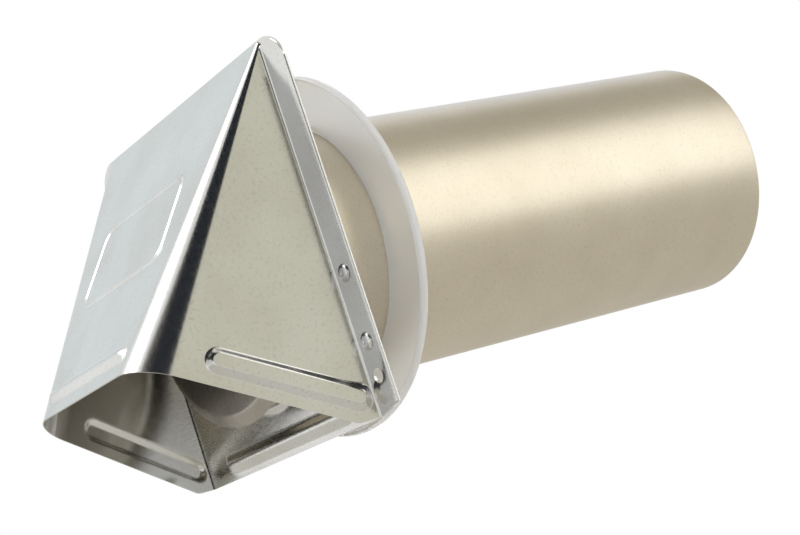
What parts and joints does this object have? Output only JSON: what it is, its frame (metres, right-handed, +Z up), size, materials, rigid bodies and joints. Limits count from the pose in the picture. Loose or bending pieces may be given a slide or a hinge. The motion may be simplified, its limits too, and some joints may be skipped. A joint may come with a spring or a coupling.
{
  "type": "dryer vent cap",
  "caption": "Folded aluminium wall hood on a back plate with a round duct tail, a sliding trim ring and a gravity damper flap.",
  "frame": {"origin": "on the tail's axis at the back plate's rear face, which lies on the wall", "axes": "+Y along the tail into the wall, +Z up, +X to the right seen from outside"},
  "size_m": [0.154, 0.3154, 0.143],
  "materials": {
    "hood_aluminium": "bright rolled sheet",
    "plate_aluminium": "rolled sheet",
    "duct_metal": "satin, warm tone",
    "ring_plastic": "translucent natural",
    "flap_aluminium": "rolled sheet",
    "steel_wire": "drawn wire",
    "rivet_aluminium": "bright"
  },
  "bodies": {
    "root": {"hood": "hood_aluminium", "back_plate": "plate_aluminium", "duct_tail": "duct_metal", "hinge_pin": "steel_wire", "rivets": "rivet_aluminium"},
    "ring": {"trim_ring": "ring_plastic"},
    "flap": {"damper_flap": "flap_aluminium"}
  },
  "joints": [
    {"name": "flap_hinge", "type": "hinge", "parent": "root", "child": "flap", "pos_m": [0, -0.0054, 0.056], "axis": [-1, 0, 0], "range_deg": [0, 19]},
    {"name": "trim_ring_slide", "type": "slide", "parent": "root", "child": "ring", "axis": [0, 1, 0], "range_m": [-0.031, 0.195]}
  ]
}
